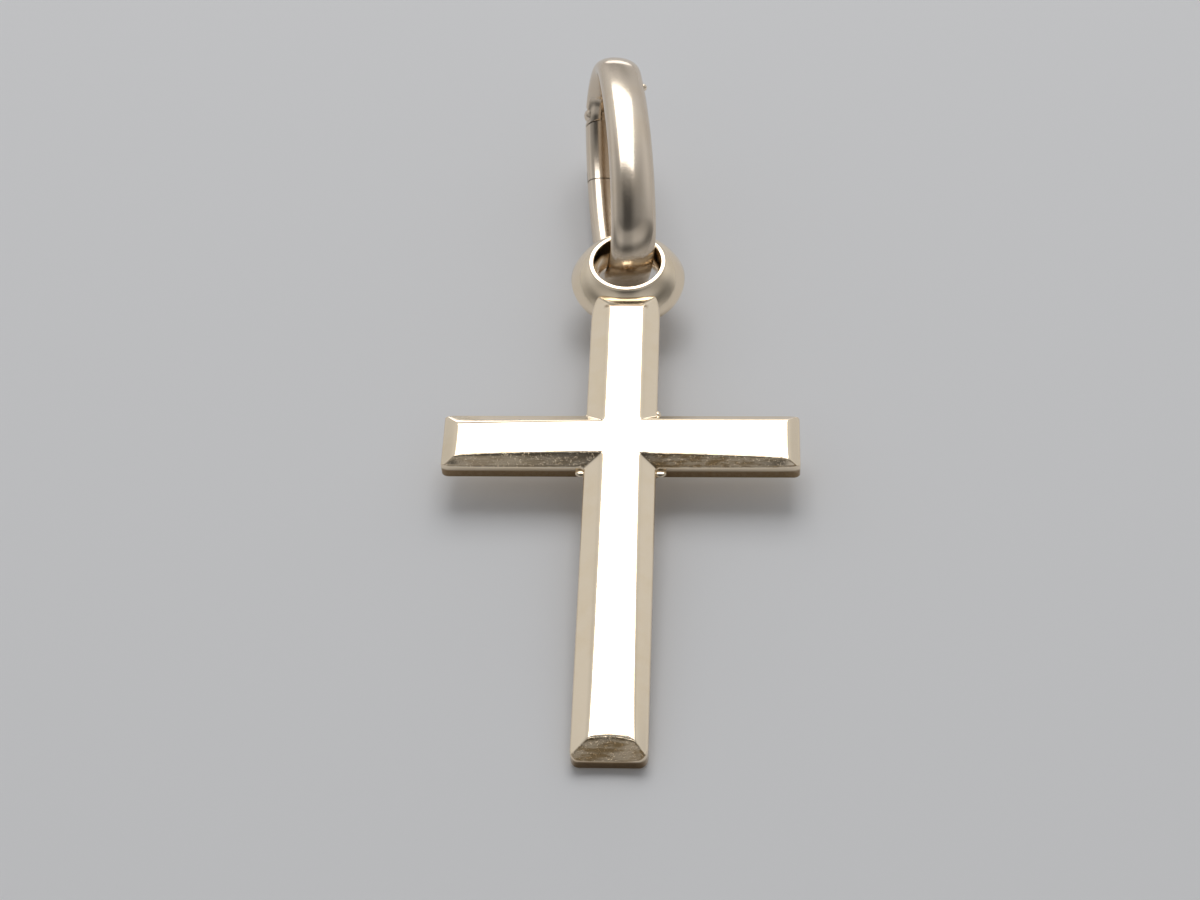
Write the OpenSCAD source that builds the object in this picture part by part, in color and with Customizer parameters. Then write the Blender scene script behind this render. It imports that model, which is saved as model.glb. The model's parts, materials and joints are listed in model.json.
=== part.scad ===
// Small gold cross pendant with a sprung clip bail, lying face up at rest.
// Sizes are in millimetres. +Z is up from the surface it lies on, and +Y runs
// from the foot of the cross towards the bail. The origin lies on that
// surface, under the middle of the whole pendant.

/* [Cross] */
// Height of the limb above the crossing, from the crossing's centre to its end
head_l = 6.6; // [5:0.1:9]
// Length of the limb below the crossing, from the crossing's centre to its end
foot_l = 12.4; // [9:0.1:16]
// Length of each arm from the crossing's centre to its tip
arm_l = 6; // [4.5:0.1:8]
// Width of the upright
upright_w = 2.4; // [2:0.05:3]
// Width of the arms
arm_w = 2.25; // [1.9:0.05:2.9]
// Thickness of the cross
cross_t = 0.84; // [0.7:0.02:1.2]
// Drop of the bevels below the flat face
bevel_drop = 0.3; // [0.2:0.01:0.4]
// Width of the upright's flat face at the crossing and at the head
upright_flat_w = 1.2; // [1:0.05:1.5]
// Width of the upright's flat face at the foot, where it is widest
foot_flat_w = 1.42; // [1.1:0.02:1.7]
// Width of an arm's flat face at the crossing
arm_flat_w = 1.25; // [1:0.05:1.5]
// Width of an arm's flat face at its tip
arm_tip_flat_w = 1.6; // [1.2:0.05:1.8]
// Length of the sloping facet at the head's end
head_facet = 0.65; // [0.3:0.05:0.9]
// Length of the sloping facet at the foot's end
foot_facet = 0.6; // [0.3:0.05:0.9]
// Length of the sloping facet at each arm's tip
arm_facet = 0.42; // [0.2:0.02:0.7]
// Radius of the corners at the head, as seen from above
head_corner_r = 0.5; // [0.1:0.05:0.8]
// Radius of the corners at the foot and the arm tips, as seen from above
tip_corner_r = 0.2; // [0.05:0.05:0.5]

/* [Ring at the head] */
// Outer diameter of the soldered ring
ring_od = 4; // [3.6:0.1:5]
// Diameter of the ring's hole, through which the bail passes
ring_hole_d = 2.38; // [2.1:0.02:2.8]
// Height of the ring along its axis
ring_h = 1.4; // [1.1:0.05:1.6]
// Width of the polished lip round the hole
ring_lip = 0.11; // [0.05:0.01:0.15]
// Distance that the ring and the head overlap in their solder joint
solder_overlap = 0.6; // [0.4:0.05:0.75]

/* [Bail] */
// Outer length of the oval bail
bail_l = 10.1; // [9:0.1:14]
// Outer width of the oval bail
bail_w = 4.9; // [4.6:0.1:6]
// Width of the bail's wire, across the oval's plane
wire_w = 1.6; // [1.3:0.05:1.7]
// Thickness of the bail's wire, in the oval's plane
wire_t = 0.85; // [0.7:0.05:0.95]
// Play between the ring and the inside of the bail's round end
ring_play = 0.45; // [0.25:0.05:0.6]

/* [Gate] */
// Length of the far bend that is left between the hinge's cheeks and the lower side
hinge_run = 0.028; // [0.02:0.002:0.2]
// Length of the gate from its hinge to its free end
gate_l = 2.9; // [2:0.1:4]
// Width of the gate's tongue between the two cheeks of the hinge
tongue_w = 0.5; // [0.35:0.05:0.6]
// Radius of the hinge rivet
rivet_r = 0.18; // [0.12:0.01:0.22]
// Radius of the rivet's domed heads
rivet_head_r = 0.28; // [0.25:0.01:0.32]
// Height of the rivet's heads beyond the wire's flanks
rivet_head_h = 0.06; // [0.03:0.01:0.1]
// Length of the lap between the gate's free end and the bail's fixed end
lap_l = 0.45; // [0.3:0.05:0.6]
// Running clearance round the hinge and at the lap
gate_clear = 0.04; // [0.02:0.01:0.06]
// Radial clearance of the rivet in its bores
rivet_clear = 0.02; // [0.01:0.01:0.04]
// Radius of the spring pin's end on the bail's right flank
spring_pin_r = 0.12; // [0.08:0.01:0.15]
// Height of the spring pin's end beyond the flank
spring_pin_h = 0.12; // [0.06:0.01:0.15]
// Distance of the spring pin from the far end's round part, along the upper side
spring_pin_at = 0.8; // [0.2:0.1:2]

/* [How it lies] */
// Lean of the bail sideways, from upright, in degrees
bail_lean = 11; // [0:0.5:20]
// Rise of the bail's long axis above the surface, in degrees
bail_rise = 9.8; // [4:0.2:14]
// Turn of the bail to the left of the upright's line, in degrees
bail_turn = 5.7; // [0:0.1:10]
// Distance of the bail's round end to the left of the upright's line
bail_shift = 0.12; // [0:0.02:0.3]
// Distance of the ring's far side behind the middle of the bail's round end
ring_back = 0.21; // [0.15:0.01:0.28]
// Distance of the ring's far side below the middle of the bail's round end
ring_sag = 0.04; // [0:0.01:0.06]

/* [Hidden] */
$fn = 72;
gold = [0.85, 0.79, 0.66];
shade_gold = [0.79, 0.72, 0.58];
cut = 40;                       // size of the blocks that cut the facets
joint_skin = 0.02;              // overlap that joins solids of one piece
core = [wire_t / 2, wire_t / 2, wire_w - 0.4 * wire_t];   // inside the wire, across its joints

// Ring, whose upper rim is level with the flat face of the cross
ring_y = head_l - solder_overlap + ring_od / 2;
hole_r = ring_hole_d / 2;
lip_r = hole_r + ring_lip;
ring_bulge = ring_od / 2 - lip_r;
ring_arc_r = (pow(ring_bulge, 2) + pow(ring_h / 2, 2)) / (2 * ring_bulge);
ring_mid_r = (hole_r + ring_od / 2) / 2;

// Oval bail: two round ends and two long, slightly bowed sides
half_l = (bail_l - wire_t) / 2;
half_w = (bail_w - wire_t) / 2;
end_r = wire_t / 2 + ring_h / 2 + ring_play;
end_x = half_l - end_r;
side_r = (pow(end_x, 2) + pow(half_w, 2) - pow(end_r, 2)) / (2 * (half_w - end_r));
side_y = side_r - half_w;
side_half = atan2(end_x, side_y);        // half the angle that a side covers
end_half = 90 - side_half;               // half the angle that an end covers

// Hinge, at an angle round the far end from the oval's long axis
knuckle_r = wire_t / 2;
cheek_r = knuckle_r + joint_skin;
hinge_at = end_half - (cheek_r + hinge_run) / end_r * 180 / PI;
pivot_dir = [cos(hinge_at), -sin(hinge_at)];
pivot = [end_x, 0] + end_r * pivot_dir;

// Hinge heads and the spring pin's end, measured from the oval's plane
flank = wire_w / 2;
round_at = (wire_w - wire_t) / 2;        // where the wire's round flank begins
head_seat = round_at + sqrt(pow(knuckle_r, 2) - pow(rivet_head_r, 2));
head_h = flank + rivet_head_h - head_seat;
head_ball_r = (pow(rivet_head_r, 2) + pow(head_h, 2)) / (2 * head_h);
pin_ball_r = (pow(spring_pin_r, 2) + pow(spring_pin_h, 2)) / (2 * spring_pin_h);
pin_turn = side_half - spring_pin_at / side_r * 180 / PI;
pin_at = [side_r * sin(pin_turn), side_r * cos(pin_turn) - side_y];

// Rest: the bail's lower side and the foot's lower edge touch the surface
along = [-sin(bail_turn) * cos(bail_rise), cos(bail_turn) * cos(bail_rise), sin(bail_rise)];
across_z = cos(bail_rise) * cos(bail_lean);
width_z = cos(bail_rise) * sin(bail_lean);
side_dir = [cos(bail_turn), sin(bail_turn), 0];
rise_dir = [sin(bail_turn) * sin(bail_rise), -cos(bail_turn) * sin(bail_rise), cos(bail_rise)];
across = cos(bail_lean) * rise_dir + sin(bail_lean) * side_dir;
plane_z = sqrt(pow(along[2], 2) + pow(across_z, 2));
bail_z = side_r * plane_z - side_y * across_z + wire_t / 2 + round_at * width_z;
// Middle of the ring's far side, from the bail's centre
held = (-end_x - ring_back) * along - ring_sag * across;
held_z = bail_z + held[2];
reach = foot_l + ring_y + ring_mid_r;
rise = cross_t - ring_h / 2;
tilt = asin(held_z / sqrt(pow(reach, 2) + pow(rise, 2))) - atan2(rise, reach);
// Places along Y before the pendant is centred: the foot's lower edge is 0
held_y = reach * cos(tilt) - rise * sin(tilt);
bail_y = held_y - held[1];
far_plane = sqrt(pow(along[1], 2) + pow(across[1], 2));
far_width = sin(bail_turn) * cos(bail_lean) + cos(bail_turn) * sin(bail_rise) * sin(bail_lean);
far_y = bail_y + end_x * along[1] + end_r * far_plane + wire_t / 2 + round_at * abs(far_width);
near_y = -(cross_t - bevel_drop) * sin(tilt);
middle_y = (far_y + near_y) / 2;
bail_at = [-bail_shift - held[0], bail_y - middle_y, bail_z];

// Plan of one limb, from the crossing's centre along +X
module limb_plan(length, width, corner_r) {
    translate([0, -width / 2]) square([length - corner_r, width]);
    translate([0, -width / 2 + corner_r]) square([length, width - 2 * corner_r]);
    for (side = [-1, 1])
        translate([length - corner_r, side * (width / 2 - corner_r)]) circle(corner_r);
}

// One limb with its two long bevels and the facet at its end
module limb(length, width, root_flat, tip_flat, end_facet, corner_r) {
    mid_bevel = width / 2 - (root_flat + tip_flat) / 4;
    slope = atan2(bevel_drop, mid_bevel);
    flare = atan2((tip_flat - root_flat) / 2, length);
    difference() {
        translate([0, 0, -cross_t])
            linear_extrude(height = cross_t) limb_plan(length, width, corner_r);
        for (side = [0, 1])
            mirror([0, side, 0])
                translate([0, root_flat / 2, 0])
                    rotate([0, 0, flare]) rotate([-slope, 0, 0])
                        translate([-cut / 2, 0, 0]) cube([cut, cut, cut]);
        translate([length - end_facet, 0, 0])
            rotate([0, atan2(bevel_drop, end_facet), 0])
                translate([0, -cut / 2, 0]) cube(cut);
    }
}

// Section of the ring: a straight hole, a small lip and a bulging outer side
module ring_section() {
    lip_z = ring_h / 2 - ring_lip;
    intersection() {
        translate([ring_od / 2 - ring_arc_r, 0]) circle(ring_arc_r);
        translate([lip_r, -ring_h / 2]) square([ring_od, ring_h]);
    }
    translate([hole_r, -lip_z]) square([ring_lip + joint_skin, 2 * lip_z]);
    for (side = [-1, 1])
        translate([lip_r, side * lip_z]) circle(ring_lip);
}

// The bevelled cross and the ring that is soldered to its head
module cross() {
    color(gold)
        translate([0, -middle_y, 0]) rotate([tilt, 0, 0]) translate([0, foot_l, cross_t]) {
            rotate(90) limb(head_l, upright_w, upright_flat_w, upright_flat_w, head_facet, head_corner_r);
            rotate(-90) limb(foot_l, upright_w, upright_flat_w, foot_flat_w, foot_facet, tip_corner_r);
            for (turn = [0, 180])
                rotate(turn) limb(arm_l, arm_w, arm_flat_w, arm_tip_flat_w, arm_facet, tip_corner_r);
            translate([0, ring_y, -ring_h / 2]) rotate_extrude() ring_section();
        }
}

// Puts what is drawn in the oval's own plane where the bail lies
module lay_bail() {
    translate(bail_at) rotate([0, 0, bail_turn]) rotate([bail_rise, 0, 0])
        rotate([0, bail_lean, 0]) rotate([90, 0, 90]) children();
}

// A place on the lower side, by its turn from the side's middle
function on_side(turn, radius) = [radius * sin(turn), side_y - radius * cos(turn)];

// Section of the wire: flat inside and outside, with round flanks
module wire_section() {
    square([wire_t, 2 * round_at], center = true);
    for (side = [-1, 1])
        translate([0, side * round_at]) circle(wire_t / 2);
}

// What is drawn as a section, bent round the far or the near end
module end_bend(x, from, turn) {
    translate([x, 0, 0]) rotate(from)
        rotate_extrude(angle = turn) translate([end_r, 0]) children();
}

// What is drawn as a section, bent along the lower side between two angles
module side_bend(from, to) {
    translate([0, side_y, 0]) rotate(from - 90)
        rotate_extrude(angle = to - from) translate([side_r, 0]) children();
}

// The whole oval before the gate is cut: four bends, joined by cores inside the wire
module oval() {
    end_bend(end_x, -end_half, 2 * end_half) wire_section();
    end_bend(-end_x, 180 - end_half, 2 * end_half) wire_section();
    for (side = [0, 1])
        mirror([0, side, 0]) side_bend(-side_half, side_half) wire_section();
    for (side = [0, 1], end = [0, 1])
        mirror([end, 0, 0]) mirror([0, side, 0])
            translate(on_side(side_half, side_r)) rotate(side_half) cube(core, center = true);
}

// What is drawn in the oval's plane, made a slab with its middle in that plane
module slab(width) {
    translate([0, 0, -width / 2]) linear_extrude(height = width) children();
}

// Plan of the gate, less a clearance: its two steps are round about the hinge
module gate_plan(clear) {
    intersection() {
        polygon([
            [0, wire_t - half_w],
            [0, -wire_t - half_w],
            pivot + wire_t * pivot_dir,
            pivot - wire_t * pivot_dir
        ]);
        union() {
            translate(pivot) circle(gate_l - lap_l - clear);
            intersection() {
                translate(pivot) circle(gate_l - clear);
                translate([0, side_y]) circle(side_r - clear);
            }
        }
    }
}

// The fixed part of the bail: most of the oval, its slotted hinge end, its
// lapped end and the peened end of the pin that holds the gate's spring
module bail_frame() {
    color(gold) lay_bail() {
        difference() {
            oval();
            slab(2 * wire_w) difference() {
                gate_plan(0);
                translate(pivot) circle(cheek_r);
            }
            slab(tongue_w + 2 * gate_clear) translate(pivot) circle(knuckle_r + gate_clear);
            slab(2 * wire_w) translate(pivot) circle(rivet_r + rivet_clear);
            for (side = [0, 1])
                mirror([0, 0, side]) translate([pivot[0], pivot[1], head_seat - rivet_clear])
                    cylinder(r = rivet_head_r + gate_clear, h = wire_w);
        }
        translate([pin_at[0], pin_at[1], flank + spring_pin_h - pin_ball_r]) sphere(pin_ball_r);
    }
}

// The sprung gate: its tongue turns on the rivet and its tip laps the fixed end
module bail_gate() {
    color(shade_gold) lay_bail() difference() {
        union() {
            intersection() {
                oval();
                slab(2 * wire_w) difference() {
                    gate_plan(gate_clear);
                    translate(pivot) circle(cheek_r + gate_clear);
                }
            }
            intersection() {
                oval();
                slab(tongue_w) intersection() {
                    gate_plan(gate_clear);
                    translate(pivot) circle(2 * knuckle_r);
                }
            }
            slab(tongue_w) translate(pivot) circle(knuckle_r);
        }
        slab(2 * wire_w) translate(pivot) circle(rivet_r + rivet_clear);
    }
}

// The rivet that the gate turns on, with a domed head at each flank
module hinge_rivet() {
    color(gold) lay_bail() translate(pivot) rotate_extrude() {
        translate([0, -head_seat - joint_skin]) square([rivet_r, 2 * (head_seat + joint_skin)]);
        for (side = [0, 1])
            mirror([0, side]) intersection() {
                translate([0, head_seat + head_h - head_ball_r]) circle(head_ball_r);
                translate([0, head_seat]) square([2 * rivet_head_r, head_h]);
            }
    }
}

cross();
bail_frame();
bail_gate();
hinge_rivet();
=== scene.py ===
import json

import bmesh
import bpy
import numpy as np
from mathutils import Matrix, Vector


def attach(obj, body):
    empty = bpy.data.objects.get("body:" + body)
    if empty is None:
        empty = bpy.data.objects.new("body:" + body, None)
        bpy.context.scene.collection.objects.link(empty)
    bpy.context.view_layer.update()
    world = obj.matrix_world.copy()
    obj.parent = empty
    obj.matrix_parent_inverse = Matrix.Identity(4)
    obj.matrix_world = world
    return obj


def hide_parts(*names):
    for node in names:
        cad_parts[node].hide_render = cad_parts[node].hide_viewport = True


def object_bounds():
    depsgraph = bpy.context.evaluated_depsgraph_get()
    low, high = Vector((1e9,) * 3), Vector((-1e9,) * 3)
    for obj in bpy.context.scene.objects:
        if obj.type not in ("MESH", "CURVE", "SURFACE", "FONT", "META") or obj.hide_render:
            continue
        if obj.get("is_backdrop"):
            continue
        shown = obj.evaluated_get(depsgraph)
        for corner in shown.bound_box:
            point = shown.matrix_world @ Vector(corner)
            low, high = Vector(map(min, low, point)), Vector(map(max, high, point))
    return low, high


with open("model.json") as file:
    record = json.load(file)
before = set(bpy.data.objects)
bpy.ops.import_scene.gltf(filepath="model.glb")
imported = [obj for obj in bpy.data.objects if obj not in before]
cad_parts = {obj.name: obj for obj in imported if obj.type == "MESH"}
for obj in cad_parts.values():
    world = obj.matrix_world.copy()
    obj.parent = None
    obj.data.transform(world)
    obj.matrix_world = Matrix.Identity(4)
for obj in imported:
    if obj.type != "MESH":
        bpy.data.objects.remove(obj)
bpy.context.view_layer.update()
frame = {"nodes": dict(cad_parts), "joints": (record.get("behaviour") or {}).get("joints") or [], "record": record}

# Cast cross: an upright and two arms in one piece of pale gold. Each limb has a
# flat polished face between two long bevels, and a sloping facet at its end.
# It is cast, filed and polished, and its back is left flat.
MM = 0.001
FACE_HEIGHT = 0.84                 # thickness of the cross, all sizes in mm
BEVEL_DROP = 0.30                  # how far the bevels fall below the face
EDGE_SOFT, CREASE_SOFT = 0.05, 0.035  # rounding of the face's edges and of the creases
FACE_LIFT = 0.012                  # makes up for what that rounding takes off the face
FACE_EDGE = 0.075                  # half width of the soft edge between face and bevel
RIM_ROUND = 0.055                  # round between a bevel and the wall below it
RIM_START = 0.5                    # angle in radians at which that round leaves the bevel
BACK_ROUND = 0.09                  # round between the wall and the back

INNER_ROUND = 0.13                 # radius of the inner corners where limbs meet
UPRIGHT_HALF, ARM_HALF = 1.2, 1.125

# Each limb, anticlockwise from the right arm, with its direction in degrees. Right
# and left are seen from the crossing: the half width of the face there at the
# crossing, at the tip and how much it flares at the very tip, and the length
# and width of the corner. The end facet has a length, a drop and a bow, which
# is how far its upper edge bends towards the tip at the sides.
LIMBS = (
    # right arm
    {"turn": 0, "length": 6.0, "half": ARM_HALF, "start": UPRIGHT_HALF,
     "face": ((0.68, 0.92, 0.14), (0.74, 0.76, 0.0)), "corner": ((0.22, 0.16), (0.42, 0.14)),
     "facet": 0.40, "drop": 0.30, "bow": (0.03, 0.03)},
    # head
    {"turn": 90, "length": 6.6, "half": UPRIGHT_HALF, "start": ARM_HALF,
     "face": ((0.63, 0.61, 0.0), (0.57, 0.56, 0.0)), "corner": ((1.2, 0.24), (1.2, 0.34)),
     "facet": 0.68, "drop": 0.26, "bow": (0.0, 0.0)},
    # left arm
    {"turn": 180, "length": 6.0, "half": ARM_HALF, "start": UPRIGHT_HALF,
     "face": ((0.70, 0.55, 0.0), (0.66, 0.84, 0.20)), "corner": ((0.30, 0.16), (0.24, 0.16)),
     "facet": 0.46, "drop": 0.30, "bow": (0.03, 0.03)},
    # foot
    {"turn": 270, "length": 12.4, "half": UPRIGHT_HALF, "start": ARM_HALF,
     "face": ((0.58, 0.64, 0.08), (0.64, 0.78, 0.08)), "corner": ((0.34, 0.26), (0.38, 0.28)),
     "facet": 0.62, "drop": 0.46, "bow": (0.14, 0.22)},
)


def to_limb(x, y, direction):
    """Distance along a limb and to its left, for places on the cross: a turn by the limb's direction."""
    c, s = np.cos(np.radians(direction)), np.sin(np.radians(direction))
    return x * c + y * s, y * c - x * s


def limb_rim(limb):
    """Rim of a limb, out along its right side, round its end and back: half of the round inner corner,
    a straight run and an elliptic corner on each side. Returns places along and across it, and the place
    on its middle line that each one is joined to."""
    length, half, start = limb["length"], limb["half"], limb["start"]
    inner = np.radians(np.linspace(45, 0, 9))
    runs = []
    for (cu, cv), side in zip(limb["corner"], (-1, 1)):
        straight = start + INNER_ROUND + 0.5 * np.linspace(0, 1, 20)[1:] ** 1.3
        straight = np.concatenate([straight, np.arange(start + 0.73, length - cu - 0.35, 0.1)])
        straight = np.concatenate([straight, np.linspace(length - cu - 0.3, length - cu, 8)])
        turn = np.radians(np.linspace(0, 90, 16))[1:]
        along = np.concatenate([start + INNER_ROUND * (1 - np.sin(inner)), straight])
        middle = (along - along[0]) / (along[-1] - along[0]) * (length - half)
        u = np.concatenate([along, length - cu + cu * np.sin(turn)])
        v = np.concatenate([half + INNER_ROUND * (1 - np.cos(inner)), np.full(len(straight), half)])
        v = side * np.concatenate([v, half - cv + cv * np.cos(turn)])
        runs.append((u, v, np.concatenate([middle, np.full(len(turn), length - half)])))
    (u1, v1, m1), (u2, v2, m2) = runs
    across = np.linspace(v1[-1], v2[-1], 34)[1:-1]
    u = np.concatenate([u1, np.full(32, length), u2[::-1]])
    v = np.concatenate([v1, across, v2[::-1]])
    m = np.concatenate([m1, np.full(32, length - half), m2[::-1]])
    return u[:-1], v[:-1], m[:-1]


def smooth_larger(a, b, blend):
    """The larger of two values, rounded where they are alike: half of a + b + the root of
    (a - b)² + blend²."""
    return (a + b + np.sqrt((a - b) ** 2 + blend ** 2)) / 2


def fall(x, y, soft):
    """Fall of the cross's surface below its face, in mm. On a limb it is the larger of two slopes: from
    the face's edge to the rim, and from the facet's upper edge, bent by bow times the square of the
    distance across, to the tip. Where limbs cross, the smaller fall wins."""
    lowest = None
    for limb in LIMBS:
        u, v = to_limb(x, y, limb["turn"])
        share = np.clip(u / limb["length"], 0, 1)
        right, left = (a + (b - a) * share ** 1.2 + flare * share ** 14 for a, b, flare in limb["face"])
        edge = np.where(v < 0, right, left)
        side = (np.abs(v) - edge) * BEVEL_DROP / (limb["half"] - edge)
        bow = np.where(v < 0, *limb["bow"]) * v ** 2
        steep = limb["drop"] / limb["facet"] * (1 + bow)
        tip = (u - (limb["length"] - limb["facet"] + bow)) * steep
        behind = (-0.4 - u) * 2
        drop = smooth_larger(smooth_larger(side, tip, soft), behind, soft)
        lowest = drop if lowest is None else -smooth_larger(-lowest, -drop, soft)
    return lowest


def on_cross(x, y, z):
    """Place in the frame, in metres, of a place on the cross in mm: x to its right arm, y to its head
    and z above its face. The cross lies where its back is in the record."""
    back = next(m for m in frame["record"]["mounts"] if m["name"] == "back")
    up = -np.array(back["axis"])
    right = np.array([1.0, 0.0, 0.0])
    head = np.cross(up, right)
    lifted = np.asarray(z) + FACE_HEIGHT
    return np.array(back["pos_m"]) + MM * (
        np.multiply.outer(x, right) + np.multiply.outer(y, head) + np.multiply.outer(lifted, up))


def surface(name, points, round_rows=False, sharp=None):
    """A mesh over a grid of points, rows by columns. Each row is closed round, and so are the columns if
    asked, and equal places are merged."""
    rows, columns = points.shape[:2]
    r = np.arange(rows if round_rows else rows - 1)
    r, c = np.meshgrid(r, np.arange(columns), indexing="ij")
    r2, c2 = (r + 1) % rows, (c + 1) % columns
    faces = np.stack([r * columns + c, r * columns + c2, r2 * columns + c2, r2 * columns + c], -1)
    faces = faces.reshape(-1, 4)
    mesh = bpy.data.meshes.new(name)
    mesh.vertices.add(rows * columns)
    mesh.vertices.foreach_set("co", points.reshape(-1).astype(np.float32))
    mesh.loops.add(faces.size)
    mesh.loops.foreach_set("vertex_index", faces.reshape(-1).astype(np.int32))
    mesh.polygons.add(len(faces))
    mesh.polygons.foreach_set("loop_start", (np.arange(len(faces)) * 4).astype(np.int32))
    mesh.update(calc_edges=True)
    mesh.validate()
    piece = bpy.data.objects.new(name, mesh)
    bpy.context.scene.collection.objects.link(piece)
    return close_up(piece, sharp)


def close_up(piece, sharp=None):
    """Merges equal places, turns the faces outwards and shades them smooth, but for edges over the
    sharp angle, in degrees."""
    work = bmesh.new()
    work.from_mesh(piece.data)
    bmesh.ops.remove_doubles(work, verts=work.verts, dist=1e-8)
    bmesh.ops.recalc_face_normals(work, faces=work.faces)
    for face in work.faces:
        face.smooth = True
    work.to_mesh(piece.data)
    work.free()
    if sharp:
        piece.data.set_sharp_from_angle(angle=np.radians(sharp))
    return piece


def cross_skin():
    """The cross as one closed grid. A column runs from the middle of the face out to the rim, down the wall
    and back to the middle of the back; the columns go round the rim. Heights are the face less its fall."""
    xs, ys, mx, my, halves = [], [], [], [], []
    for limb in LIMBS:
        u, v, m = limb_rim(limb)
        c, s = np.cos(np.radians(limb["turn"])), np.sin(np.radians(limb["turn"]))
        xs.append(u * c - v * s)
        ys.append(u * s + v * c)
        mx.append(m * c)
        my.append(m * s)
        halves.append(np.full(len(u), limb["half"]))
    rim_x, rim_y, mid_x, mid_y, half = map(np.concatenate, (xs, ys, mx, my, halves))
    trial = np.linspace(0, 1, 300)[:, None]
    way = fall(rim_x + trial * (mid_x - rim_x), rim_y + trial * (mid_y - rim_y), 0.0)
    face_at = trial[np.argmax(way <= 0.001, axis=0), 0]
    first = RIM_ROUND / half
    band = 1.6 * FACE_EDGE / half
    low = np.maximum(face_at - band, first + 0.02)
    high = np.minimum(face_at + band, 0.97)
    bevel = first + (low - first) * np.linspace(0, 1, 9)[:, None]
    edge = low + (high - low) * np.linspace(0, 1, 13)[1:, None]
    flat = high + (1 - high) * np.linspace(0, 1, 11)[1:, None] ** 0.8
    top = np.concatenate([flat[::-1], edge[::-1], bevel[::-1]])
    x, y = rim_x + top * (mid_x - rim_x), rim_y + top * (mid_y - rim_y)
    z = -smooth_larger(fall(x, y, CREASE_SOFT), 0.0, EDGE_SOFT) + FACE_LIFT
    # the round of the rim starts at the bevel's slope and ends upright
    turn = np.linspace(RIM_START, np.pi / 2, 7)[1:, None]
    lead = (np.sin(turn) - np.sin(RIM_START)) / (1 - np.sin(RIM_START))
    rim_share = first * (1 - lead)
    rim_z = z[-1] - RIM_ROUND * 1.6 * (np.cos(RIM_START) - np.cos(turn))
    wall_z = rim_z[-1] + (BACK_ROUND - FACE_HEIGHT - rim_z[-1]) * np.linspace(0, 1, 6)[1:, None]
    turn = np.linspace(0, np.pi / 2, 7)[1:, None]
    foot_share = BACK_ROUND / half * (1 - np.cos(turn))
    foot_z = BACK_ROUND - FACE_HEIGHT - BACK_ROUND * np.sin(turn) + 0 * rim_x
    back_share = BACK_ROUND / half + (1 - BACK_ROUND / half) * np.linspace(0, 1, 8)[1:, None]
    share = np.concatenate([top, rim_share, np.zeros((5, len(rim_x))), foot_share, back_share])
    height = np.concatenate([z, rim_z, wall_z, foot_z, np.full(back_share.shape, -FACE_HEIGHT)])
    x, y = rim_x + share * (mid_x - rim_x), rim_y + share * (mid_y - rim_y)
    return x, y, height


class Tone:
    """A value that changes over a surface: a socket in a material, with Python's operators as Math nodes."""

    def __init__(self, tree, socket):
        self.tree, self.socket = tree, socket

    def math(self, operation, a, b=0.0):
        return node(self.tree, "ShaderNodeMath", {"operation": operation}, {0: a, 1: b})

    def __add__(self, other):
        return self.math("ADD", self, other)

    def __sub__(self, other):
        return self.math("SUBTRACT", self, other)

    def __mul__(self, other):
        return self.math("MULTIPLY", self, other)

    def __rsub__(self, other):
        return self.math("SUBTRACT", other, self)

    def __abs__(self):
        return self.math("ABSOLUTE", self)

    __radd__, __rmul__ = __add__, __mul__

    def between(self, low, high):
        """0 below low, 1 above high and smooth between."""
        settings = {"interpolation_type": "SMOOTHSTEP"}
        ends = {"Value": self, "From Min": low, "From Max": high}
        return node(self.tree, "ShaderNodeMapRange", settings, ends)


def node(tree, kind, settings=None, links=None, out=0):
    """Adds a node: its settings first, then a value or a link for each named socket. Returns one of
    its outputs."""
    made = tree.nodes.new(kind)
    for key, value in (settings or {}).items():
        setattr(made, key, value)
    for key, value in (links or {}).items():
        if isinstance(value, Tone):
            tree.links.new(value.socket, made.inputs[key])
        else:
            made.inputs[key].default_value = value
    return Tone(tree, made.outputs[out])


def mix_colours(tree, share, a, b):
    """A colour between a and b, through a Mix node."""
    return node(tree, "ShaderNodeMix", {"data_type": "RGBA"}, {"Factor": share, 6: a, 7: b}, out=2)


def noise(tree, place, scale, detail, roughness):
    """A value that wanders between about 0.3 and 0.7, scale times over each unit of the place."""
    links = {"Vector": place, "Scale": scale, "Detail": detail, "Roughness": roughness}
    return node(tree, "ShaderNodeTexNoise", links=links)


PALE_GOLD = (0.930, 0.795, 0.615, 1.0)
WARM_GOLD = (0.880, 0.710, 0.480, 1.0)
# brown for the casting's skin, partly painted shade, and dark brown for painted shade
BROWN_GOLD = (0.420, 0.290, 0.150, 1.0)
DARK_GOLD = (0.170, 0.090, 0.022, 1.0)
SCRATCH_TURN = 0.9                 # direction of the polishing scratches, in radians from X
RELIEF = 0.02                      # depth of a height of one in the surface, in mm


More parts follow.
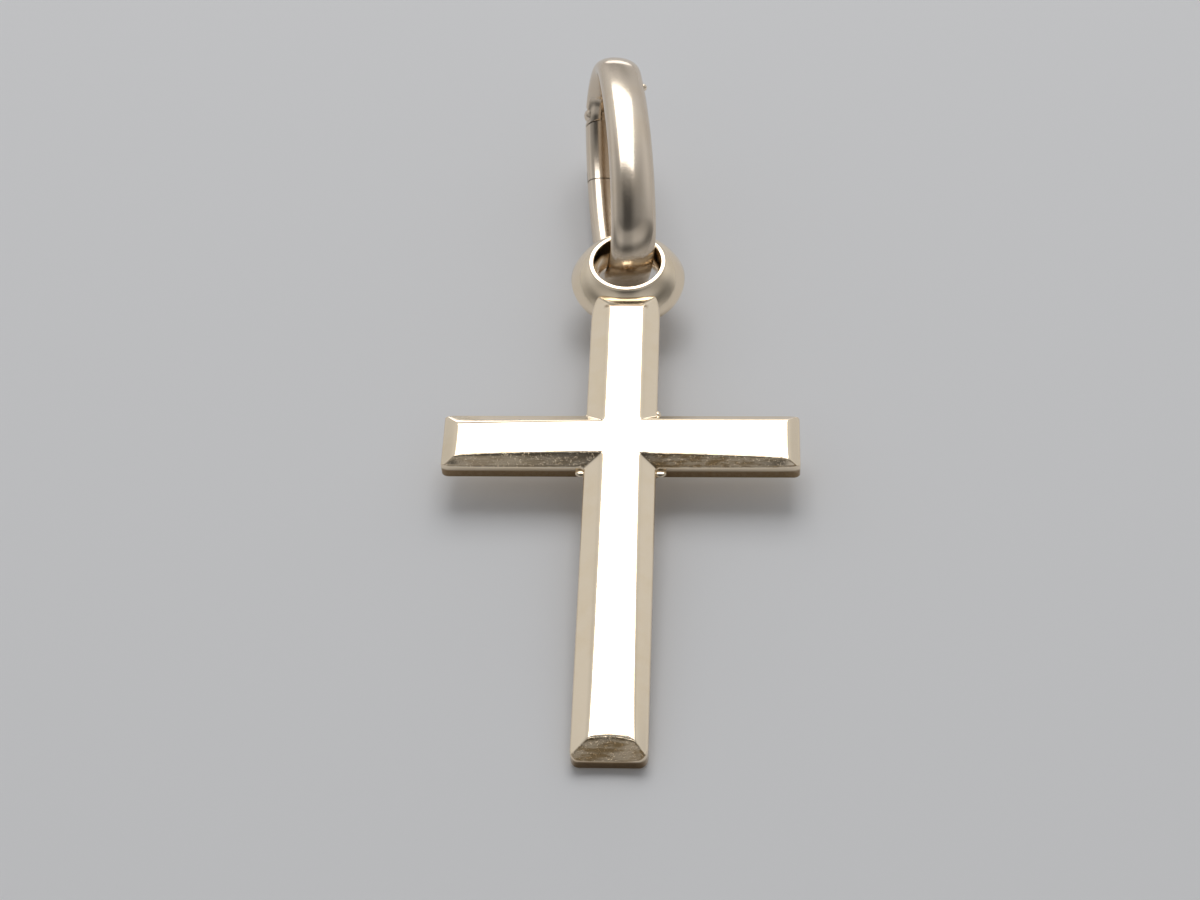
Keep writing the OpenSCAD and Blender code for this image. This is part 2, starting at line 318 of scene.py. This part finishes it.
def gold(name, roughness, wave, scratch, warmth=0.4, pale=PALE_GOLD, warm=WARM_GOLD):
    """Pale gold: an uneven warm tint, hand polishing as long faint scratches, and a slow wave in the
    surface. Where the casting-skin attribute is 1 the casting's skin shows, pitted and streaked along X, and the
    colour turns an unevenly stained brown that is partly painted shade. Where the shade attribute is 1 the colour
    is painted dark brown as painted shade, and the surface is rougher."""
    material = bpy.data.materials.new(name)
    material.use_nodes = True
    tree = material.node_tree
    shader = tree.nodes["Principled BSDF"]
    place = node(tree, "ShaderNodeTexCoord", out="Object")
    mm = node(tree, "ShaderNodeVectorMath", {"operation": "SCALE"}, {0: place, "Scale": 1000.0})
    cast_skin_and_shade = node(tree, "ShaderNodeAttribute", {"attribute_name": "cast_skin_and_shade"}, out="Fac")
    painted_shade = node(tree, "ShaderNodeAttribute", {"attribute_name": "painted_shade"}, out="Fac")
    turned = {"Vector": mm, "Rotation": (0.0, 0.0, SCRATCH_TURN), "Scale": (2.0, 40.0, 10.0)}
    across_scratches = node(tree, "ShaderNodeMapping", links=turned)
    drawn = node(tree, "ShaderNodeMapping", links={"Vector": mm, "Scale": (1.5, 7.0, 7.0)})
    tint = noise(tree, mm, 0.9, 3.0, 0.6)
    fine = noise(tree, mm, 9.0, 5.0, 0.65)
    lines = noise(tree, across_scratches, 1.0, 4.0, 0.7)
    pits = noise(tree, drawn, 2.2, 8.0, 0.8)
    specks = noise(tree, mm, 9.5, 3.0, 0.8)
    stain = noise(tree, drawn, 0.8, 4.0, 0.7)
    slow = noise(tree, mm, 1.3, 2.0, 0.5)
    colour = mix_colours(tree, tint.between(0.35, 0.75) * warmth, pale, warm)
    # brown by the casting-skin attribute: the casting's stained skin, and painted shade on the surfaces facing the
    # foot and on the wire inside the ring
    colour = mix_colours(tree, cast_skin_and_shade * (0.45 + stain.between(0.42, 0.60) * 0.75), colour, BROWN_GOLD)
    # dark brown painted shade by the shade attribute
    colour = mix_colours(tree, painted_shade * (0.80 + fine * 0.2), colour, DARK_GOLD)
    shader.inputs["Metallic"].default_value = 1.0
    tree.links.new(colour.socket, shader.inputs["Base Color"])
    rough = (fine - 0.5) * 0.10 + lines.between(0.45, 0.8) * 0.10 * scratch + painted_shade * 0.12 + roughness
    tree.links.new(rough.socket, shader.inputs["Roughness"])
    height = slow * wave + lines * 0.05 * scratch + fine * 0.03
    height = height + cast_skin_and_shade * (pits * 0.6 + specks.between(0.58, 0.66) * cast_skin_and_shade * 2.0)
    bump = node(tree, "ShaderNodeBump", links={"Height": height, "Distance": RELIEF * MM, "Strength": 1.0})
    tree.links.new(bump.socket, shader.inputs["Normal"])
    return material


x, y, z = cross_skin()
cross_plate = surface("cross_plate", on_cross(x, y, z))
cross_gold = gold("cross_gold", roughness=0.09, wave=0.35, scratch=0.35)


def read(piece, what):
    """The places or normals of a piece's vertices, in the frame's own axes."""
    values = np.zeros(len(piece.data.vertices) * 3, np.float32)
    source = piece.data.vertices if what == "co" else piece.data.vertex_normals
    source.foreach_get("co" if what == "co" else "vector", values)
    return values.reshape(-1, 3)


def paint(piece, name, values):
    """Keeps a value for each of the piece's vertices, for its material to read."""
    attribute = piece.data.attributes.new(name, "FLOAT", "POINT")
    attribute.data.foreach_set("value", values.astype(np.float32))


def step(value, low, high):
    """0 below low, 1 above high and smooth between: three times the share squared less twice its cube."""
    share = np.clip((value - low) / (high - low), 0, 1)
    return share * share * (3 - 2 * share)


def back_to_cross(places):
    """Places in the frame, in metres, as places on the cross in mm: the way back from on_cross."""
    corner, along_x, along_y, along_z = on_cross([0, 1, 0, 0], [0, 0, 1, 0], [0, 0, 0, 1])
    axes = (np.stack([along_x, along_y, along_z]) - corner) / MM
    return ((places - corner) @ axes.T / MM).T


# The bevels and the facet that face the foot keep the casting's pits and specks, more so on the right arm, and
# their colour is painted brown there as painted shade.
# The walls are painted darker as painted shade, more so low down and where they face the foot, but for the lower
# inner corners, which stay bright as a painted highlight.
# A dark line of painted shade crosses the head where its end facet starts.
across, along, depth = back_to_cross(read(cross_plate, "co"))
facing = read(cross_plate, "vector")
wall = step(np.hypot(facing[:, 0], facing[:, 1]), 0.75, 0.95)
on_right = step(across, 0.8, 1.2)
patchy = 0.45 + on_right * (0.55 - 0.30 * step(across, 2.5, 5.5)) + 0.4 * step(-along, 11.0, 11.4)
# painted shade: brown on the surfaces facing the foot, with the casting's pits and specks
paint(cross_plate, "cast_skin_and_shade", step(-facing[:, 1], 0.28, 0.42) * (1 - wall) * patchy)
# the lower inner corners are left without painted shade, so they shine as painted highlights
corner = step(np.minimum(np.abs(facing[:, 0]), np.abs(facing[:, 1])), 0.3, 0.55) * step(-along, -0.9, -1.0)
corner *= step(-np.hypot(np.abs(across) - 1.2, along + 1.125), -0.35, -0.2)
# painted shade on the walls, darker low down and on the side facing the foot
painted_wall_shade = wall * step(-depth, 0.37, 0.47) * (0.5 + 0.45 * step(-facing[:, 1], 0.3, 0.9)) * (1 - corner)
# a dark line painted as shade where the head's face turns down to its end facet
painted_dark_line = step(-np.abs(along - 5.91), -0.085, -0.035) * step(depth, -0.10, -0.05) * 0.7
paint(cross_plate, "painted_shade", painted_wall_shade + painted_dark_line)
cross_plate.data.materials.append(cross_gold)
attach(cross_plate, "pendant")
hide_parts("cross")


def dome(middle, radii, lowest, place):
    """Part of an ellipsoid, from its top down to an angle: its middle plus the radii along three axes, by
    the sine and cosine of the angle from the top and of the turn round it."""
    down = np.radians(np.linspace(0, lowest, 13))[:, None]
    turn = np.radians(np.arange(0, 360, 15.0))
    x = middle[0] + radii[0] * np.sin(down) * np.cos(turn)
    y = middle[1] + radii[1] * np.sin(down) * np.sin(turn)
    z = middle[2] + radii[2] * np.cos(down) + 0 * turn
    return place(x, y, z)


# Beads of metal that the mould left in three inner corners.
for name, middle, radii in (
    ("head_bead", (1.22, 1.20, -0.50), (0.13, 0.24, 0.26)),
    ("left_bead", (-1.30, -1.22, -0.45), (0.20, 0.17, 0.06)),
    ("right_bead", (1.34, -1.23, -0.45), (0.22, 0.16, 0.06)),
):
    bead = surface(name, dome(middle, radii, 180, on_cross))
    bead.data.materials.append(cross_gold)
    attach(bead, "pendant")
    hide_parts("cross")

# Ring at the head: a thick turned ring with a polished lip round its hole and a
# full, slightly conical outside. It lies level with the cross's face and is
# soldered to the end of the upright, which laps over its near side.
RING_AT = 8.0                      # middle of the ring, above the crossing
RING_OUT, RING_HOLE = 2.03, 1.195  # radius at its lower edge and at the mouth of its hole
RING_WAIST = 1.03                  # radius of the hole at its narrowest
RING_EDGE = -0.87                  # height of the widest place, from the cross's face
RING_HALF = 0.70                   # half its height
LIP_OUT = 1.365                    # where the lip ends on the ring's upper side


def hole_radius(height):
    """Radius of the hole at a height: it widens from its waist with the distance to the power 2.2."""
    return RING_WAIST + (RING_HOLE - RING_WAIST) * np.abs((height + RING_HALF) / 0.6) ** 2.2


def ring_section():
    """The ring's section from its waist up over the lip and down to its lower edge: radius and height
    above the face. The lip is flat with round corners, and the side is a curve drawn by three places,
    each weighted by the square or by twice the product of the shares before and after."""
    hole_z = np.linspace(-RING_HALF, -0.06, 14)
    hole_r = hole_radius(hole_z)
    turn = np.radians(np.linspace(0, 90, 7))
    lip_in_r = RING_HOLE + 0.005 + 0.035 * (1 - np.cos(turn))
    lip_in_z = -0.04 + 0.035 * np.sin(turn)
    lip_out_r = LIP_OUT - 0.03 * (1 - np.sin(turn))
    lip_out_z = -0.035 + 0.03 * np.cos(turn)
    crown_r = np.linspace(lip_in_r[-1], lip_out_r[0], 8)[1:-1]
    crown_z = -0.005 + 0.004 * np.sin(np.linspace(0, np.pi, 8)[1:-1])
    share = np.linspace(0, 1, 26)[:, None]
    corners = np.array([[LIP_OUT + 0.01, -0.045], [1.78, -0.30], [RING_OUT, RING_EDGE]])
    side = (1 - share) ** 2 * corners[0] + 2 * share * (1 - share) * corners[1] + share ** 2 * corners[2]
    return (np.concatenate([hole_r, lip_in_r, crown_r, lip_out_r, side[:, 0]]),
            np.concatenate([hole_z, lip_in_z, crown_z, lip_out_z, side[:, 1]]))


def ring_skin():
    """The section closed by a round lower edge and a flat underside, and turned round the ring's axis."""
    r, z = ring_section()
    turn = np.radians(np.linspace(0, 90, 10))[1:]
    under_r = RING_OUT - 0.30 * (1 - np.cos(turn))
    under_z = RING_EDGE - (2 * RING_HALF + RING_EDGE) * np.sin(turn)
    flat_r = np.linspace(under_r[-1], RING_HOLE + 0.06, 8)[1:]
    back_z = np.linspace(-1.33, -0.72, 12)
    r = np.concatenate([r, under_r, flat_r, hole_radius(back_z)])
    z = np.concatenate([z, under_z, np.full(7, -2 * RING_HALF), back_z])
    turn = np.radians(np.arange(0, 360, 2.0))[:, None]
    return r * np.cos(turn), RING_AT + r * np.sin(turn), z + 0 * turn


ring = surface("ring", on_cross(*ring_skin()), round_rows=True, sharp=50)
ring.data.materials.append(gold("ring_gold", roughness=0.13, wave=0.3, scratch=0.35))
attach(ring, "pendant")
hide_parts("cross")

# Bail: an oval link of flattened gold wire, bent round and passed through the
# ring. Its lower side is cut for the gate: one cut end is slotted for the
# gate's hinge, the other is filed to half its thickness as a seat for its tip.
BAIL_LONG, BAIL_WIDE = 10.1, 4.9   # outside of the oval
WIRE_WIDE, WIRE_THICK = 1.6, 0.85
TONGUE_WIDE, TONGUE_LONG = 0.5, 0.75  # gate's tongue, between the cheeks
END_ROUND = 1.575                  # middle radius of the oval's round ends
GATE_LONG, LAP_LONG = 2.9, 0.45    # from the hinge to the gate's tip, and its lap
HINGE_SHORT = 0.473                # wire between the hinge and the end of the far bend
CHEEK_OVER = 0.02                  # how far the hinge's round opening passes the wire's own round
RUNNING = 0.04                     # clearance round the hinge and at the lap
HEAD_ROOM, HEAD_SEAT = 0.32, 0.675 # radius of the rivet's shallow seats, and how far out they lie
PIN_ROUND, PIN_OUT = 0.14, 0.78    # radius of the spring pin's domed end, and how far out it sits
PIN_PAST_BEND = 0.8                # from the end of the far bend to that pin
GREY_GOLD = (0.760, 0.655, 0.535, 1.0)
DULL_GOLD = (0.720, 0.590, 0.440, 1.0)

end_x = (BAIL_LONG - WIRE_THICK) / 2 - END_ROUND
half_wide = (BAIL_WIDE - WIRE_THICK) / 2
side_round = (end_x ** 2 + half_wide ** 2 - END_ROUND ** 2) / (2 * (half_wide - END_ROUND))
side_y = side_round - half_wide
end_turn = 90 - np.degrees(np.arctan2(end_x, side_y))
hinge_turn = np.radians(end_turn) - HINGE_SHORT / END_ROUND
hinge_out = np.array([np.cos(hinge_turn), -np.sin(hinge_turn)])
hinge_at = np.array([end_x, 0.0]) + END_ROUND * hinge_out


def on_bail(x, y, z):
    """Place in the frame, in metres, of a place in the oval's own plane in mm: x to its far end, y to its
    upper side, z along its width. The record gives its middle, its width's line and its hinge."""
    way = next(m for m in frame["record"]["mounts"] if m["name"] == "chain_way")
    middle, wide = np.array(way["pos_m"]), np.array(way["axis"])
    to_hinge = np.array(frame["joints"][0]["pos_m"]) - middle
    to_hinge /= np.linalg.norm(to_hinge)
    turned = np.arctan2(hinge_at[1], hinge_at[0])
    along = to_hinge * np.cos(turned) - np.cross(wide, to_hinge) * np.sin(turned)
    across = np.cross(wide, along)
    return middle + MM * (
        np.multiply.outer(x, along) + np.multiply.outer(y, across) + np.multiply.outer(z, wide))


def oval_way(turns):
    """Places on the oval's middle line, by the direction in degrees that faces outwards there: each is the
    middle of its arc plus the arc's radius along that direction."""
    turns = np.asarray(turns) % 360
    side = np.where(turns < 180, 1, -1)
    far = (turns < end_turn) | (turns > 360 - end_turn)
    near = np.abs(turns - 180) < end_turn
    middle_x = np.where(far, end_x, np.where(near, -end_x, 0.0))
    middle_y = np.where(far | near, 0.0, -side * side_y)
    radius = np.where(far | near, END_ROUND, side_round)
    angle = np.radians(turns)
    return middle_x + radius * np.cos(angle), middle_y + radius * np.sin(angle)


def oval_turns(step):
    """Directions round the oval whose places are about one step apart, in mm."""
    fine = np.linspace(0, 360, 20001)
    x, y = oval_way(fine)
    run = np.concatenate([[0], np.cumsum(np.hypot(np.diff(x), np.diff(y)))])
    return np.interp(np.linspace(0, run[-1], int(run[-1] / step) + 1)[:-1], run, fine)


def wire_skin():
    """The wire's section carried round the oval: an ellipse outside, and inside |x|^2.8 + |z|^2.8 = 1."""
    around = np.radians(np.arange(0, 360, 5.0))
    power = np.where(np.cos(around) > 0, 2 / 2.05, 2 / 2.8)
    thick = WIRE_THICK / 2 * np.sign(np.cos(around)) * np.abs(np.cos(around)) ** power
    wide = WIRE_WIDE / 2 * np.sign(np.sin(around)) * np.abs(np.sin(around)) ** power
    turns = oval_turns(0.06)[:, None]
    x, y = oval_way(turns)
    return x + thick * np.cos(np.radians(turns)), y + thick * np.sin(np.radians(turns)), wide + 0 * turns


def arc(middle, radius, start, end, count=24):
    """Places on an arc between two angles, in radians."""
    angle = np.linspace(start, end, count)
    return np.stack([middle[0] + radius * np.cos(angle), middle[1] + radius * np.sin(angle)], -1)


def gate_plan(clear):
    """Outline of the gate in the oval's plane, less a clearance: round about the hinge at its cheeks and at
    both steps of its tip, and along the wire's middle between the steps. The angle at which a step meets
    the wire's middle line comes from the three sides of a triangle: reach, way to the arc's middle, arc."""
    out = np.arctan2(hinge_out[1], hinge_out[0])
    seat = np.array([0.0, side_y])
    where = []
    for reach in (GATE_LONG - clear, GATE_LONG - LAP_LONG - clear):
        gap = seat - hinge_at
        apart = np.linalg.norm(gap)
        inner = side_round - clear
        angle = np.arccos((reach ** 2 + apart ** 2 - inner ** 2) / (2 * reach * apart))
        where.append(np.arctan2(gap[1], gap[0]) + angle)
    tip_angle, step_angle = where
    cheek = WIRE_THICK / 2 + CHEEK_OVER + clear
    return np.concatenate([
        arc(hinge_at, cheek, out, out - np.pi),
        arc(hinge_at, GATE_LONG - clear, tip_angle - 0.35, tip_angle, 16),
        arc(hinge_at, GATE_LONG - LAP_LONG - clear, step_angle, step_angle + 0.45, 16),
        (hinge_at + 1.3 * WIRE_THICK * hinge_out + [-0.3, -0.35])[None],
    ])


def slab(name, outline, low, high):
    """An outline in the oval's plane made a slab between two places across its width, with closed ends."""
    rings = []
    for share, width in ((0, low), (1, low), (1, high), (0, high)):
        plan = outline.mean(0) + share * (outline - outline.mean(0))
        rings.append(on_bail(plan[:, 0], plan[:, 1], np.full(len(plan), width)))
    return surface(name, np.stack(rings))


def fan_slab(name, outline, low, high):
    """A slab whose ends are single faces, so that a hollow outline stays as drawn."""
    count = len(outline)
    places = [on_bail(outline[:, 0], outline[:, 1], np.full(count, width)) for width in (low, high)]
    walls = [(i, (i + 1) % count, (i + 1) % count + count, i + count) for i in range(count)]
    mesh = bpy.data.meshes.new(name)
    ends = [tuple(range(count)), tuple(range(count, 2 * count))]
    mesh.from_pydata(np.concatenate(places).tolist(), [], walls + ends)
    piece = bpy.data.objects.new(name, mesh)
    bpy.context.scene.collection.objects.link(piece)
    return close_up(piece)


def carve(piece, tool, operation="DIFFERENCE"):
    """Cuts a piece with a tool, or keeps what lies in both, and takes the tool away."""
    cut = piece.modifiers.new("cut", "BOOLEAN")
    cut.operation, cut.object, cut.solver = operation, tool, "EXACT"
    bpy.context.view_layer.update()
    whole = piece.evaluated_get(bpy.context.evaluated_depsgraph_get())
    mesh = bpy.data.meshes.new_from_object(whole)
    piece.modifiers.remove(cut)
    piece.data = mesh
    bpy.data.objects.remove(tool)


round_disc = np.radians(np.arange(0, 360, 7.5))
disc = np.stack([np.cos(round_disc), np.sin(round_disc)], -1)
bail_wire = surface("bail_wire", on_bail(*wire_skin()), round_rows=True)
carve(bail_wire, fan_slab("opening", gate_plan(0.0), -WIRE_WIDE, WIRE_WIDE))
slot_half = TONGUE_WIDE / 2 + RUNNING
carve(bail_wire, slab("slot", hinge_at + (WIRE_THICK / 2 + RUNNING) * disc, -slot_half, slot_half))
for side in (-1, 1):
    low, high = sorted((side * HEAD_SEAT, side * WIRE_WIDE))
    carve(bail_wire, slab("head_seat", hinge_at + HEAD_ROOM * disc, low, high))
close_up(bail_wire, sharp=35)
bail_gold = gold("bail_gold", roughness=0.15, wave=0.12, scratch=0.4, pale=GREY_GOLD, warm=DULL_GOLD)
bail_wire.data.materials.clear()
bail_wire.data.materials.append(bail_gold)
# Inside the ring's hole the wire's colour is painted browner and darker as painted shade, and its surface is
# pitted and rougher there.
across, along, height = back_to_cross(read(bail_wire, "co"))
inside = step(-np.hypot(across, along - RING_AT), -1.7, -1.0) * step(-height, -0.9, 0.3)
paint(bail_wire, "cast_skin_and_shade", 0.30 * inside)
paint(bail_wire, "painted_shade", 0.10 * inside)
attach(bail_wire, "pendant")
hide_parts("bail_frame")

# The pin that holds the gate's spring ends in a small dome on the wire's right flank.
pin_x, pin_y = oval_way(end_turn + np.degrees(PIN_PAST_BEND / side_round))
pin_end = dome((float(pin_x), float(pin_y), PIN_OUT), (PIN_ROUND, PIN_ROUND, PIN_ROUND), 130, on_bail)
spring_pin = surface("spring_pin_end", pin_end)
spring_pin.data.materials.append(gold("pin_gold", roughness=0.3, wave=0.1, scratch=0.1, warmth=0.0))
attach(spring_pin, "pendant")
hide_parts("bail_frame")

# Gate: the short sprung length of the same wire. Its tongue turns on the rivet
# between the two cheeks, and its tip rests on the filed seat.
gate = surface("gate", on_bail(*wire_skin()), round_rows=True)
carve(gate, fan_slab("gate_shape", gate_plan(RUNNING), -WIRE_WIDE, WIRE_WIDE), "INTERSECT")
tongue = surface("gate_tongue", on_bail(*wire_skin()), round_rows=True)
to_gate = np.array([-np.sin(hinge_turn), -np.cos(hinge_turn)])
toe = hinge_at + TONGUE_LONG * to_gate
ahead = disc @ to_gate > 0
aside = np.array([-to_gate[1], to_gate[0]])
neck = np.concatenate([hinge_at + WIRE_THICK / 2 * disc[~ahead], toe + WIRE_THICK / 2 * disc[ahead]])
reach = neck - (hinge_at + toe) / 2
neck = neck[np.argsort(np.arctan2(reach @ aside, reach @ to_gate))]
carve(tongue, fan_slab("tongue_shape", neck, -TONGUE_WIDE / 2, TONGUE_WIDE / 2), "INTERSECT")
for piece in (gate, tongue):
    close_up(piece, sharp=35)
    piece.data.materials.clear()
    piece.data.materials.append(bail_gold)
    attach(piece, "gate")
    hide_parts("bail_gate")

# Rivet: a short pin through cheeks and tongue, its two ends spread to low domes.
rivet = frame["nodes"]["hinge_rivet"]
rivet.data.materials.clear()
rivet.data.materials.append(bail_gold)

# Floor: a plain pale sheet that the pendant lies on.
bpy.ops.mesh.primitive_plane_add(size=3.0, location=(0, 0, 0))
floor = bpy.context.object
floor.name = "floor"
floor_paint = bpy.data.materials.new("pale_floor")
floor_paint.use_nodes = True
floor_shader = floor_paint.node_tree.nodes["Principled BSDF"]
floor_shader.inputs["Base Color"].default_value = (0.80, 0.80, 0.81, 1)
floor_shader.inputs["Roughness"].default_value = 0.8
floor.data.materials.append(floor_paint)
floor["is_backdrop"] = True

# Studio light: a wide soft box high beyond the pendant, which the faces mirror,
# in a plain studio with pale walls at the sides, a bright strip low beyond the
# pendant and little light behind the camera.
BOX_RISE = 54                      # direction of the box, in degrees above +Y
BOX_FAR, BOX_SIDE = 0.30, 0.19     # its distance and the length of its sides, in metres
BOX_LIGHT = 2.6                    # its brightness, where the studio's darkest place has 0.06

studio = bpy.data.worlds.new("studio")
studio.use_nodes = True
bpy.context.scene.world = studio
bpy.context.scene.view_settings.view_transform = "Standard"
tree = studio.node_tree
way = node(tree, "ShaderNodeTexCoord", out="Generated")
split = tree.nodes.new("ShaderNodeSeparateXYZ")
tree.links.new(way.socket, split.inputs[0])
to_right, to_far, to_top = (Tone(tree, split.outputs[i]) for i in range(3))
box_rise = np.radians(BOX_RISE)
to_box = to_far * float(np.cos(box_rise)) + to_top * float(np.sin(box_rise))
camera_side = 1.0 - to_far.between(-0.8, 0.1)
to_side = abs(to_right).between(0.10, 0.42)

# The walls are brighter beyond the pendant, and dimmer low down, high up and at the right.
wall_light = 0.20 + to_far.between(-0.5, 0.6) * 0.40 - (1.0 - to_top.between(0.2, 0.5)) * 0.11
dim_right = 1.0 - to_right.between(0.6, 0.95) * (1.0 - to_far.between(0.0, 0.5)) * 0.5
walls = to_side * (1.0 - to_top.between(0.5, 0.95) * 0.5) * wall_light * dim_right

# Straight beyond, a faint light and the bright low strip that the facet at the head mirrors, and
# a soft glow round the box.
beyond = to_far.between(0.25, 0.75) * (1.0 - to_side) * 0.27
strip = to_top.between(0.02, 0.06) * (1.0 - to_top.between(0.23, 0.30)) * to_far.between(0.945, 0.970) * 1.6
halo = to_box.between(0.82, 0.985) * 0.36

# On the camera's side, a low light and a faint one halfway up.
front = camera_side * (1.0 - to_top.between(0.0, 0.3)) * 0.35
behind = camera_side * to_top.between(0.30, 0.55) * (1.0 - to_top.between(0.74, 0.86)) * 0.25
glow = walls + beyond + strip + halo + front + behind + camera_side * 0.03 + 0.06
tree.nodes["Background"].inputs["Color"].default_value = (0.98, 0.99, 1.0, 1.0)
tree.links.new(glow.socket, tree.nodes["Background"].inputs["Strength"])

light = bpy.data.lights.new("far_box", "AREA")
light.shape, light.size, light.size_y = "RECTANGLE", BOX_SIDE, BOX_SIDE
light.energy = BOX_LIGHT * np.pi * BOX_SIDE ** 2
lamp = bpy.data.objects.new("far_box", light)
out = np.array([0.0, np.cos(box_rise), np.sin(box_rise)])
right = np.array([-1.0, 0.0, 0.0])
turn = Matrix([list(row) for row in np.stack([right, np.cross(out, right), out], 1)]).to_4x4()
lamp.matrix_world = Matrix.Translation(out * BOX_FAR) @ turn
bpy.context.scene.collection.objects.link(lamp)

# Camera: close above the foot, turned as in the photograph. Its place is
# measured on the cross, with the crossing's middle at one point of the picture.
PICTURE = (1200, 900)
CROSSING_PIXEL = (620.478, 436.202)
FOCUS = 2400.0                     # focal length in pixels of that picture
CAMERA_FAR = 80.282                # from the crossing, in mm
# its height above the cross's plane, its turn to the side and its roll, in degrees
rise, sideways, roll = np.radians([51.203, -4.78, -3.529])

ahead = np.array([np.sin(sideways) * np.cos(rise), np.cos(sideways) * np.cos(rise), -np.sin(rise)])
level = np.array([np.cos(sideways), -np.sin(sideways), 0.0])
upward = np.cross(level, ahead)
right = np.cos(roll) * level + np.sin(roll) * upward
upward = np.cos(roll) * upward - np.sin(roll) * level
shift_x = (CROSSING_PIXEL[0] - PICTURE[0] / 2) / FOCUS
shift_y = (CROSSING_PIXEL[1] - PICTURE[1] / 2) / FOCUS
eye = -CAMERA_FAR * (ahead + shift_x * right - shift_y * upward)
points = np.array([eye, eye + right, eye + upward, eye - ahead])
eye_at, right_at, up_at, back_at = on_cross(*points.T)

camera = bpy.data.objects.new("camera", bpy.data.cameras.new("camera"))
camera.data.sensor_fit = "HORIZONTAL"
camera.data.sensor_width = 36.0
camera.data.lens = 36.0 * FOCUS / PICTURE[0]
camera.data.clip_start = 0.002
axes = (np.stack([right_at, up_at, back_at], 1) - eye_at[:, None]) / MM
turn = Matrix([list(row) for row in axes]).to_4x4()
camera.matrix_world = Matrix.Translation(eye_at) @ turn
bpy.context.scene.collection.objects.link(camera)
bpy.context.scene.camera = camera

low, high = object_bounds()
